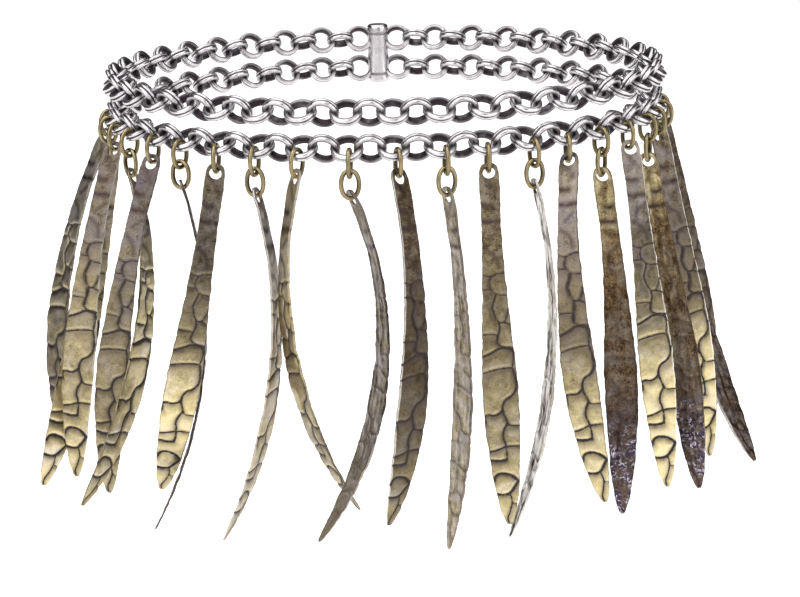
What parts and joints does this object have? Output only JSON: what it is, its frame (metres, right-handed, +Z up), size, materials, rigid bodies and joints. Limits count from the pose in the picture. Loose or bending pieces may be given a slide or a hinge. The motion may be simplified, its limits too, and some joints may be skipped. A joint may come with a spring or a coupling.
{
  "type": "anklet",
  "caption": "Anklet of two rolo chain rows with a fringe of long, bowed, embossed leaf-shaped drops that hang from the lower row on jump rings.",
  "frame": {"origin": "middle of the ankle loop, halfway between the two chain rows", "axes": "+Z up along the leg; -Y towards the middle of the fringe; +X to the right as the fringe is looked at from outside"},
  "size_m": [0.1053, 0.0907, 0.0625],
  "materials": {
    "antique_silver": "antiqued silver plate, polished on the high faces and dark between the links",
    "ring_brass": "antiqued brass wire",
    "blade_brass": "antiqued brass sheet, satin, darkened in the embossed lines"
  },
  "bodies": {
    "root": {"clasp": "antique_silver", "drop_01": "blade_brass", "drop_02": "blade_brass", "drop_03": "blade_brass", "drop_04": "blade_brass", "drop_05": "blade_brass", "drop_06": "blade_brass", "drop_07": "blade_brass", "drop_08": "blade_brass", "drop_09": "blade_brass", "drop_10": "blade_brass", "drop_11": "blade_brass", "drop_12": "blade_brass", "drop_13": "blade_brass", "drop_14": "blade_brass", "drop_15": "blade_brass", "drop_16": "blade_brass", "drop_17": "blade_brass", "drop_18": "blade_brass", "drop_19": "blade_brass", "drop_20": "blade_brass", "drop_21": "blade_brass", "jump_ring_01_upper": "ring_brass", "jump_ring_02_lower": "ring_brass", "jump_ring_02_upper": "ring_brass", "jump_ring_03_upper": "ring_brass", "jump_ring_04_lower": "ring_brass", "jump_ring_04_upper": "ring_brass", "jump_ring_05_upper": "ring_brass", "jump_ring_06_lower": "ring_brass", "jump_ring_06_upper": "ring_brass", "jump_ring_07_upper": "ring_brass", "jump_ring_08_lower": "ring_brass", "jump_ring_08_upper": "ring_brass", "jump_ring_09_upper": "ring_brass", "jump_ring_10_lower": "ring_brass", "jump_ring_10_upper": "ring_brass", "jump_ring_11_upper": "ring_brass", "jump_ring_12_lower": "ring_brass", "jump_ring_12_upper": "ring_brass", "jump_ring_13_upper": "ring_brass", "jump_ring_14_lower": "ring_brass", "jump_ring_14_upper": "ring_brass", "jump_ring_15_upper": "ring_brass", "jump_ring_16_lower": "ring_brass", "jump_ring_16_upper": "ring_brass", "jump_ring_17_upper": "ring_brass", "jump_ring_18_lower": "ring_brass", "jump_ring_18_upper": "ring_brass", "jump_ring_19_upper": "ring_brass", "jump_ring_20_lower": "ring_brass", "jump_ring_20_upper": "ring_brass", "jump_ring_21_upper": "ring_brass", "lower_chain_1": "antique_silver", "lower_chain_2": "antique_silver", "lower_chain_3": "antique_silver", "upper_chain_1": "antique_silver", "upper_chain_2": "antique_silver", "upper_chain_3": "antique_silver"}
  },
  "joints": []
}
